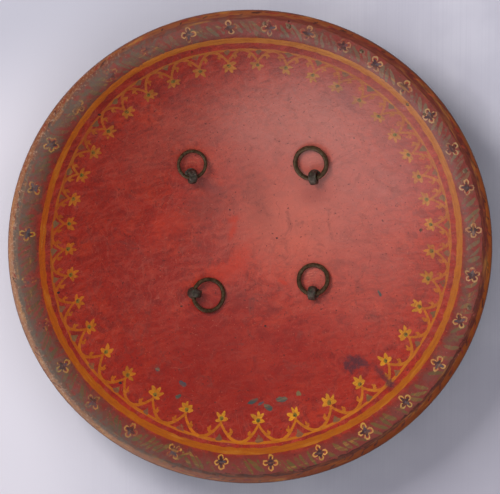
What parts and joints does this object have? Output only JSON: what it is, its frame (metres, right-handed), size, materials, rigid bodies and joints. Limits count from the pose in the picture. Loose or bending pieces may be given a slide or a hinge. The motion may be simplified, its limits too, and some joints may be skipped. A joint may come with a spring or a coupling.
{
  "type": "dhal shield",
  "caption": "Round lacquered hide shield with a hollow back, a rolled rim, domed front bosses and grip rings on eye bolts.",
  "frame": {"origin": "on the dish axis, in the plane of the four boss feet that the shield lies on", "axes": "+Z along the dish axis, out of the hollow; +Y towards the top of the shield as pictured; +X to its right"},
  "size_m": [0.48, 0.48, 0.097],
  "materials": {
    "lacquered_hide": "glossy hand-painted lacquer over hide, worn and hazy",
    "boss_metal": "darkened, rubbed at the crown",
    "eye_metal": "dark patina with a green trace",
    "ring_metal": "dark patina with a green trace"
  },
  "bodies": {
    "shield": {"shield_body": "lacquered_hide", "boss_upper_left": "boss_metal", "ring_eye_upper_left": "eye_metal", "boss_upper_right": "boss_metal", "ring_eye_upper_right": "eye_metal", "boss_lower_left": "boss_metal", "ring_eye_lower_left": "eye_metal", "boss_lower_right": "boss_metal", "ring_eye_lower_right": "eye_metal"},
    "ring_upper_left": {"strap_ring_upper_left": "ring_metal"},
    "ring_upper_right": {"strap_ring_upper_right": "ring_metal"},
    "ring_lower_left": {"strap_ring_lower_left": "ring_metal"},
    "ring_lower_right": {"strap_ring_lower_right": "ring_metal"}
  },
  "joints": [
    {"name": "ring_turn_upper_left", "type": "hinge", "parent": "shield", "child": "ring_upper_left", "pos_m": [-0.05752, 0.06042, 0.03209], "axis": [0.9827, 0, -0.1851], "range_deg": [0, 158]},
    {"name": "ring_turn_upper_right", "type": "hinge", "parent": "shield", "child": "ring_upper_right", "pos_m": [0.06428, 0.05978, 0.03331], "axis": [0.9557, 0.1755, 0.2364], "range_deg": [0, 165]},
    {"name": "ring_turn_lower_left", "type": "hinge", "parent": "shield", "child": "ring_lower_left", "pos_m": [-0.05639, -0.05807, 0.03142], "axis": [-0.1369, -0.9683, 0.2089], "range_deg": [0, 164]},
    {"name": "ring_turn_lower_right", "type": "hinge", "parent": "shield", "child": "ring_lower_right", "pos_m": [0.06329, -0.05895, 0.03294], "axis": [0.9791, 0, 0.2035], "range_deg": [0, 162]}
  ]
}
